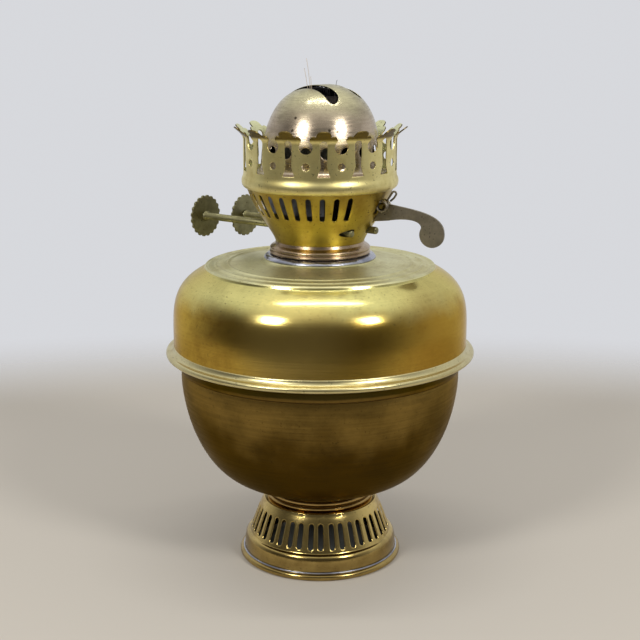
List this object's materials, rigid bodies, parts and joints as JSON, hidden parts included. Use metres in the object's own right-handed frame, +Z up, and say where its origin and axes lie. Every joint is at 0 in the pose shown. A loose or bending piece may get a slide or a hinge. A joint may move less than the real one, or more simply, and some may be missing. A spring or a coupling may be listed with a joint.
{
  "type": "oil lamp",
  "caption": "Brass table oil lamp with a pierced foot, a round oil font, a twin-wick burner with thumb wheels and snuffer lever, a crown gallery and a slotted dome.",
  "frame": {"origin": "on the lamp's axis, in the plane that the foot stands on", "axes": "+Z up along the lamp's axis; X runs along the two winder spindles, with the thumb wheels on the -X side; the flat wicks and the dome's two slots run along X, one on each side of the XZ plane"},
  "size_m": [0.1384, 0.1384, 0.2144],
  "materials": {
    "foot_brass": "polished, slightly worn",
    "copper_brass": "reddish brass, dull",
    "bowl_brass": "dark bronze tone with turned streaks",
    "font_brass": "olive gold with darker patches",
    "burner_brass": "golden, worn",
    "gallery_brass": "olive brass",
    "dome_brass": "pale, brushed round",
    "wheel_brass": "dull olive",
    "lever_steel": "tarnished dark",
    "tinned_steel": "grey tinned sheet",
    "solder": "grey solder",
    "wick_cotton": "woven cotton, used"
  },
  "bodies": {
    "font": {"foot_shell": "foot_brass", "foot_stud": "foot_brass", "foot_nut": "foot_brass", "neck_moulding": "copper_brass", "neck_band": "bowl_brass", "bowl_lower": "bowl_brass", "font_shoulder": "font_brass", "seam_ring": "font_brass", "font_collar": "copper_brass", "solder_ring": "solder"},
    "burner": {"burner_base_ring": "copper_brass", "burner_body": "burner_brass", "base_plate": "tinned_steel", "wick_tube_front": "tinned_steel", "wick_tube_rear": "tinned_steel", "draught_cup": "tinned_steel", "lever_bracket": "burner_brass", "lever_pivot_pin": "burner_brass", "lever_spring": "lever_steel"},
    "winder_front": {"spindle_front": "wheel_brass", "thumb_wheel_front": "wheel_brass", "spur_wheels_front": "wheel_brass"},
    "winder_rear": {"spindle_rear": "wheel_brass", "thumb_wheel_rear": "wheel_brass", "spur_wheels_rear": "wheel_brass"},
    "front_wick": {"wick_front": "wick_cotton"},
    "rear_wick": {"wick_rear": "wick_cotton"},
    "lever": {"extinguisher_lever": "lever_steel"},
    "snuffer": {"snuffer_sleeve_front": "tinned_steel", "snuffer_sleeve_rear": "tinned_steel", "snuffer_yoke": "tinned_steel", "flap_pin_front": "burner_brass", "flap_pin_rear": "burner_brass"},
    "front_flap": {"flap_front": "tinned_steel"},
    "rear_flap": {"flap_rear": "tinned_steel"},
    "gallery": {"gallery_crown": "gallery_brass", "gallery_plate": "gallery_brass", "dome": "dome_brass"}
  },
  "joints": [
    {"name": "burner_turn", "type": "hinge", "parent": "font", "child": "burner", "pos_m": [0, 0, 0.14], "axis": [0, 0, 1], "range_deg": [0, 24]},
    {"name": "front_winder_turn", "type": "hinge", "parent": "burner", "child": "winder_front", "pos_m": [0, -0.0067, 0.1525], "axis": [-1, 0, 0], "range_deg": [-150, 20]},
    {"name": "rear_winder_turn", "type": "hinge", "parent": "burner", "child": "winder_rear", "pos_m": [0, 0.0067, 0.1525], "axis": [1, 0, 0], "range_deg": [-150, 20]},
    {"name": "front_wick_slide", "type": "slide", "parent": "burner", "child": "front_wick", "axis": [0, 0.0762, 0.9971], "range_m": [-0.009, 0.0012]},
    {"name": "rear_wick_slide", "type": "slide", "parent": "burner", "child": "rear_wick", "axis": [0, -0.0762, 0.9971], "range_m": [-0.009, 0.0012]},
    {"name": "lever_press", "type": "hinge", "parent": "burner", "child": "lever", "pos_m": [0.02936, 0.00787, 0.1638], "axis": [-0.2588, 0.9659, 0], "range_deg": [0, 9.4], "stiffness_Nm_per_rad": 0.02, "springref_deg": -17.19},
    {"name": "snuffer_lift", "type": "slide", "parent": "burner", "child": "snuffer", "axis": [0, 0, 1], "range_m": [0, 0.005]},
    {"name": "front_flap_fold", "type": "hinge", "parent": "snuffer", "child": "front_flap", "pos_m": [0, -0.004, 0.2038], "axis": [1, 0, 0], "range_deg": [0, 90]},
    {"name": "rear_flap_fold", "type": "hinge", "parent": "snuffer", "child": "rear_flap", "pos_m": [0, 0.004, 0.2038], "axis": [-1, 0, 0], "range_deg": [0, 90]},
    {"name": "gallery_lift", "type": "slide", "parent": "burner", "child": "gallery", "axis": [0, 0, 1], "range_m": [0, 0.045]}
  ],
  "couplings": [
    {"joint": "front_wick_slide", "follows": "front_winder_turn", "m_per_rad": 0.0034},
    {"joint": "rear_wick_slide", "follows": "rear_winder_turn", "m_per_rad": 0.0034},
    {"joint": "snuffer_lift", "follows": "lever_press", "m_per_rad": 0.0304},
    {"joint": "front_flap_fold", "follows": "lever_press", "ratio": 9.55},
    {"joint": "rear_flap_fold", "follows": "lever_press", "ratio": 9.55}
  ]
}
